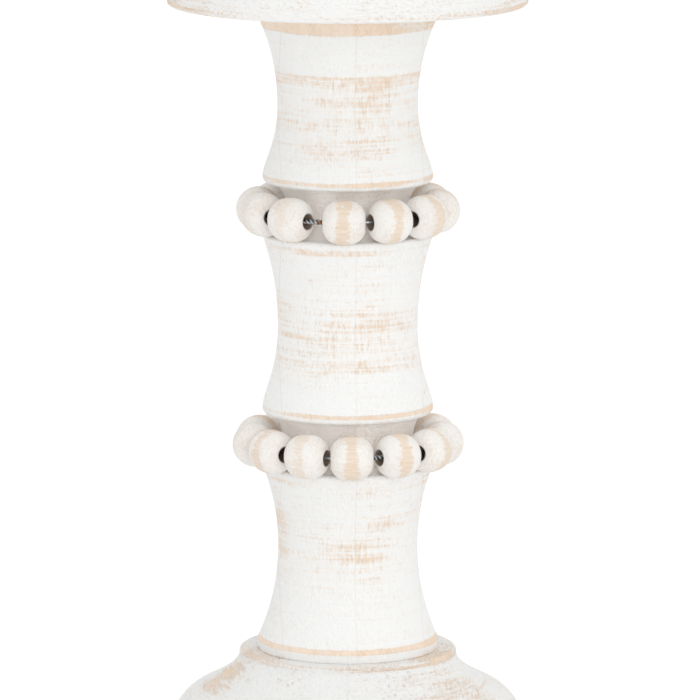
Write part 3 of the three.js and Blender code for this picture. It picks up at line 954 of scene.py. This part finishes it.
class CANDLESTICK_OT_plate(bpy.types.Operator):
    """Turn the dished candle plate"""

    bl_idname = "candlestick.plate"
    bl_label = "Candle plate"

    def execute(self, context):
        plate = context.scene.candlestick.plate
        bottom, top, radius = PLATE_LOW.z, PLATE_HIGH.z, PLATE_HIGH.x
        edge, rim = plate.edge_rounding, plate.rim_rounding
        dish_radius = radius - plate.rim_width
        dish_floor = top - plate.dish_depth
        corner = plate.dish_corner
        hole_top = DOWEL_HIGH.z + CLEARANCE
        inner = 0.001  # rounding of the dish's edge
        points = outline(
            bare((0, hole_top), (DOWEL_HOLE, hole_top), (DOWEL_HOLE, bottom)),
            painted(
                line((DOWEL_HOLE, bottom), (radius - edge, bottom), step=0.002),
                arc(radius - edge, bottom + edge, edge, 270, 360),
                arc(radius - rim, top - rim, rim, 0, 90),
                arc(dish_radius + inner, top - inner, inner, 90, 180),
                arc(dish_radius - corner, dish_floor + corner, corner, 360, 270),
                line((dish_radius - corner, dish_floor), (0, dish_floor), step=0.002),
            ),
        )
        bands = [
            (bottom, 0.0012, 0.0022, 0.0006, 0.50),
            (bottom, 0.0024, 0.0065, 0.0030, 0.20),
            (top, -0.0008, 0, 0.0004, 0.12),
        ]
        # Places that were sanded more than the rest.
        places = [
            (-62, bottom + 0.003, 30, 0.004, 0.20),
            (66, bottom + 0.002, 26, 0.003, 0.22),
        ]
        wear = wear_along(points, bands)
        mesh = turned_mesh(
            "dished_plate", points, wear, segments=256, unevenness=0.0002, seed=29.0, places=places
        )
        material = limewashed_pine(
            "limewashed pine, plate",
            context.scene.candlestick.finish,
            grain_turn=(math.radians(6), math.radians(86), math.radians(-18)),
            board_turn=(0, 0, math.radians(90)),
            board_width=0.042,
            coarseness=1.2,
            pitting=0.3,
        )
        show("dished_plate", mesh, material, "stand", "candle_plate")
        return {"FINISHED"}


# How bare each bead's belt is, in order from its strand's first bead.
UPPER_BELTS = (1.0, 0.95, 0.9, 0.5, 0.9, 0.7, 0.95, 0.4, 0.9, 0.8, 0.1, 0.35)
LOWER_BELTS = (1.0, 0.85, 0.2, 0.9, 0.6, 0.95, 0.8, 0.3, 0.95, 0.15, 0.8, 0.55, 1.0)


def bead_section(radius, beads):
    """Half a section of a bead, as (reach from the hole's axis, place along it), closed on itself."""
    half, bore, mouth = beads.length / 2, beads.bore_radius, beads.mouth_rounding
    squareness = 2.5  # 2 is a ball, and more is squarer
    steps = 44
    points = []
    for i in range(steps + 1):
        place = -half + 2 * half * i / steps
        along = math.sin(math.pi / 2 * place / half) * half
        reach = radius * (1 - (abs(along) / radius) ** squareness) ** (1 / squareness)
        points.append((reach, along))
    end = bore + mouth
    shoulder = arc(end, half - mouth, mouth, 90, 180)
    foot = [(reach, -along) for reach, along in shoulder[::-1]]
    inside = line((bore, half - mouth), (bore, mouth - half), step=0.001)
    return [*points, *shoulder, *inside, *foot, points[0]]


def bead_mesh(name, strand, beads, belt, draw):
    """One bead, with its hole along X."""
    radius = strand.bead_radius
    section = outline(bead_section(radius, beads))[:-1]
    segments = 56
    dent_depth, dents = 0.00012, 260  # the depth, and dents for each metre
    skin = beads.bore_radius * 1.3  # nearer to the axis than this, the bead is left true
    seed = draw.uniform(0, 50)
    spin = draw.uniform(0, math.tau)
    vertices = []
    for reach, along in section:
        for j in range(segments):
            turn = spin + math.tau * j / segments
            place = Vector((along, reach * math.cos(turn), reach * math.sin(turn)))
            if reach > skin:
                dent = dent_depth * (0.5 + 0.5 * noise.noise(place * dents + Vector((seed, 0, 0))))
                place *= 1 - dent / radius
            vertices.append(place)
    faces = []
    rows = len(section)
    for i in range(rows):
        for j in range(segments):
            k = (j + 1) % segments
            low, high = i * segments, (i + 1) % rows * segments
            faces.append((low + k, low + j, high + j, high + k))
    narrowest, widest, aside = 0.88, 1.12, 0.0004  # of the usual width, and metres off the middle
    half_width = beads.belt_width / 2 * draw.uniform(narrowest, widest)
    shift = draw.uniform(-aside, aside)
    mesh = bpy.data.meshes.new(name)
    mesh.from_pydata(vertices, [], faces, shade_flat=False)
    give_attribute(mesh, "seed", [seed] * len(vertices))
    belts = mesh.attributes.new("belt", "FLOAT_VECTOR", "POINT")
    belts.data.foreach_set("vector", [half_width, shift, belt] * len(vertices))
    mesh.update()
    return mesh


class CANDLESTICK_OT_beads(bpy.types.Operator):
    """Turn the beads of both strands"""

    bl_idname = "candlestick.beads"
    bl_label = "Beads"

    def execute(self, context):
        beads = context.scene.candlestick.beads
        material = limewashed_beads(context.scene.candlestick.finish, beads.bore_radius)
        draw = random.Random(7)  # any seed, kept so that the beads come out the same each time
        for strand, belts in ((UPPER, UPPER_BELTS), (LOWER, LOWER_BELTS)):
            for i, (node, centre, turn) in enumerate(zip(strand.nodes, strand.centres, strand.angles)):
                name = f"{strand.name}_wooden_bead_{i + 1:02d}"
                mesh = bead_mesh(name, strand, beads, belts[i % len(belts)], draw)
                placed = Matrix.Translation(centre) @ Matrix.Rotation(turn, 4, "Z")
                show(name, mesh, material, node, node, placed)
        return {"FINISHED"}


def wire_path(strand, wire):
    """The wire's centreline: one end of the twist, once round the ring, and the other end."""
    tail = 0.0015  # how far the winding goes on past the twist
    reach = wire.twist_length / 2 + tail
    radius = strand.ring_radius
    closure = strand.closure_angle()
    steps = 24 * wire.twist_turns
    ring_steps = 180
    settling = 8  # the ends come onto the ring within one part in this many of the way round

    def point(place, offset, phase):
        turn = closure + place / radius
        out = radius + offset * math.cos(phase)
        return Vector((out * math.sin(turn), -out * math.cos(turn), strand.height + offset * math.sin(phase)))

    def winding(phase):
        shares = [i / steps for i in range(steps + 1)]
        whole = math.tau * wire.twist_turns
        return [point(reach - 2 * reach * share, wire.radius, phase + whole * share) for share in shares]

    round_the_ring = []
    ring = math.tau * radius - 2 * reach
    for i in range(1, ring_steps):
        share = i / ring_steps
        settled = min(1.0, settling * min(share, 1 - share))
        phase = math.pi * (share > 0.5)
        round_the_ring.append(point(-reach - ring * share, wire.radius * (1 - settled), phase))
    return [*winding(0), *round_the_ring, *winding(math.pi)]


class CANDLESTICK_OT_wires(bpy.types.Operator):
    """Draw the wires that the beads are threaded on"""

    bl_idname = "candlestick.wires"
    bl_label = "Wires"

    def execute(self, context):
        wire = context.scene.candlestick.wires
        material = galvanised_wire()
        for strand in (UPPER, LOWER):
            name = f"{strand.name}_threading_wire"
            curve = bpy.data.curves.new(name, "CURVE")
            curve.dimensions = "3D"
            path = wire_path(strand, wire)
            spline = curve.splines.new("POLY")
            spline.points.add(len(path) - 1)
            for knot, place in zip(spline.points, path):
                knot.co = (*place, 1.0)
            curve.bevel_depth = wire.radius
            curve.bevel_resolution = 3
            curve.use_fill_caps = True
            drawn = bpy.data.objects.new(name, curve)
            mesh = bpy.data.meshes.new_from_object(drawn)
            bpy.data.objects.remove(drawn)
            mesh.name = name
            mesh.materials.clear()
            mesh.polygons.foreach_set("use_smooth", [True] * len(mesh.polygons))
            show(name, mesh, material, f"{strand.name}_strand", f"{strand.name}_wire")
        return {"FINISHED"}


class CANDLESTICK_OT_felt(bpy.types.Operator):
    """Cut the felt under the base"""

    bl_idname = "candlestick.felt"
    bl_label = "Felt"

    def execute(self, context):
        radius, top = FELT_HIGH.x, FELT_HIGH.z
        soft = 0.0006  # rounding of the cut edges
        points = outline(
            painted(
                line((0, 0), (radius - soft, 0), step=0.004),
                arc(radius - soft, soft, soft, 270, 360) + arc(radius - soft, top - soft, soft, 0, 90),
                line((radius - soft, top), (0, top), step=0.004),
            )
        )
        wear = [(0.0, 0.0, 0.0)] * len(points)
        mesh = turned_mesh("felt_disc", points, wear, segments=256, unevenness=0.0004, seed=41.0)
        show("felt_disc", mesh, pressed_felt(), "stand", "felt_pad")
        return {"FINISHED"}


class CANDLESTICK_OT_fixings(bpy.types.Operator):
    """Finish the screw, its washer and the dowel, which keep their solids' shapes"""

    bl_idname = "candlestick.fixings"
    bl_label = "Fixings"

    def execute(self, context):
        plated = zinc_plated_steel()
        finishes = {"base_screw": plated, "screw_washer": plated, "plate_dowel": bare_beech()}
        for node, material in finishes.items():
            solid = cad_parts[node]
            if not solid.data.materials:
                raise RuntimeError(f"{node} has no material slot to finish")
            for slot in solid.material_slots:
                slot.material = material
        return {"FINISHED"}


class CANDLESTICK_OT_stage(bpy.types.Operator):
    """Lay the floor, hang the lights and set up the camera"""

    bl_idname = "candlestick.stage"
    bl_label = "Stage"

    def execute(self, context):
        stage = context.scene.candlestick.stage
        scene = context.scene
        half = stage.floor_width / 2
        mesh = bpy.data.meshes.new("studio_floor")
        corners = [(-half, -half, 0), (half, -half, 0), (half, half, 0), (-half, half, 0)]
        mesh.from_pydata(corners, [], [(0, 1, 2, 3)])
        floor = bpy.data.objects.new("studio_floor", mesh)
        scene.collection.objects.link(floor)
        sockets = {"Base Color": rgba(stage.floor), "Roughness": 0.9, "Specular IOR Level": 0.2}
        mesh.materials.append(new_material("white paper sweep", sockets)[0])

        world = bpy.data.worlds.new("studio")
        world.use_nodes = True
        # A white light tent, as bright on every side.
        tent = world.node_tree.nodes["Background"]
        tent.inputs["Color"].default_value = (1, 1, 1, 1)
        tent.inputs["Strength"].default_value = stage.sky
        scene.world = world

        # Each lamp is a wide, even source: where it stands, how many degrees wide it is, and its strength.
        lamps = [
            ("key_light", (0.45, -1.6, 0.42), 34, stage.key),
            ("top_light", (0.1, -0.2, 1.0), 70, stage.top),
        ]
        for name, towards, spread, strength in lamps:
            light = bpy.data.lights.new(name, "SUN")
            light.angle = math.radians(spread)
            light.energy = strength
            lamp = bpy.data.objects.new(name, light)
            lamp.location = towards
            lamp.rotation_euler = Vector(towards).to_track_quat("Z", "Y").to_euler()
            scene.collection.objects.link(lamp)

        camera = bpy.data.cameras.new("camera")
        camera.lens = stage.focal
        camera.clip_start = 0.05
        camera.clip_end = 50
        viewer = bpy.data.objects.new("camera", camera)
        back = stage.distance
        viewer.location = (
            stage.sideways,
            -back * math.cos(stage.pitch),
            stage.aim_height + back * math.sin(stage.pitch),
        )
        viewer.rotation_euler = (math.pi / 2 - stage.pitch, 0, 0)
        scene.collection.objects.link(viewer)
        scene.camera = viewer
        scene.view_settings.view_transform = "Standard"
        scene.view_settings.look = "None"
        scene.view_settings.gamma = stage.softness
        return {"FINISHED"}


class CANDLESTICK_PT_sidebar(bpy.types.Panel):
    """Lists the candlestick's pieces and their settings"""

    bl_idname = "CANDLESTICK_PT_sidebar"
    bl_label = "Candlestick"
    bl_space_type = "VIEW_3D"
    bl_region_type = "UI"
    bl_category = "Candlestick"

    def draw(self, context):
        settings = context.scene.candlestick
        for name in ("base", "shaft", "plate", "beads", "wires", "felt", "fixings", "stage", "finish"):
            box = self.layout.box()
            if name == "finish":
                box.label(text="Finish")
            else:
                box.operator(f"candlestick.{name}")
            group = getattr(settings, name, None)
            for key in group.__annotations__ if group else ():
                box.prop(group, key)


CLASSES = (
    ShaftSettings,
    PlateSettings,
    BaseSettings,
    BeadSettings,
    WireSettings,
    FinishSettings,
    StageSettings,
    CandlestickSettings,
    CANDLESTICK_OT_base,
    CANDLESTICK_OT_shaft,
    CANDLESTICK_OT_plate,
    CANDLESTICK_OT_beads,
    CANDLESTICK_OT_wires,
    CANDLESTICK_OT_felt,
    CANDLESTICK_OT_fixings,
    CANDLESTICK_OT_stage,
    CANDLESTICK_PT_sidebar,
)


def register():
    for item in CLASSES:
        bpy.utils.register_class(item)
    bpy.types.Scene.candlestick = PointerProperty(type=CandlestickSettings)


def unregister():
    del bpy.types.Scene.candlestick
    for item in reversed(CLASSES):
        bpy.utils.unregister_class(item)


def main():
    """Registers the add-on and makes every piece in order."""
    register()
    bpy.ops.candlestick.base()
    bpy.ops.candlestick.shaft()
    bpy.ops.candlestick.plate()
    bpy.ops.candlestick.beads()
    bpy.ops.candlestick.wires()
    bpy.ops.candlestick.felt()
    bpy.ops.candlestick.fixings()
    bpy.ops.candlestick.stage()


if __name__ == "__main__":
    main()
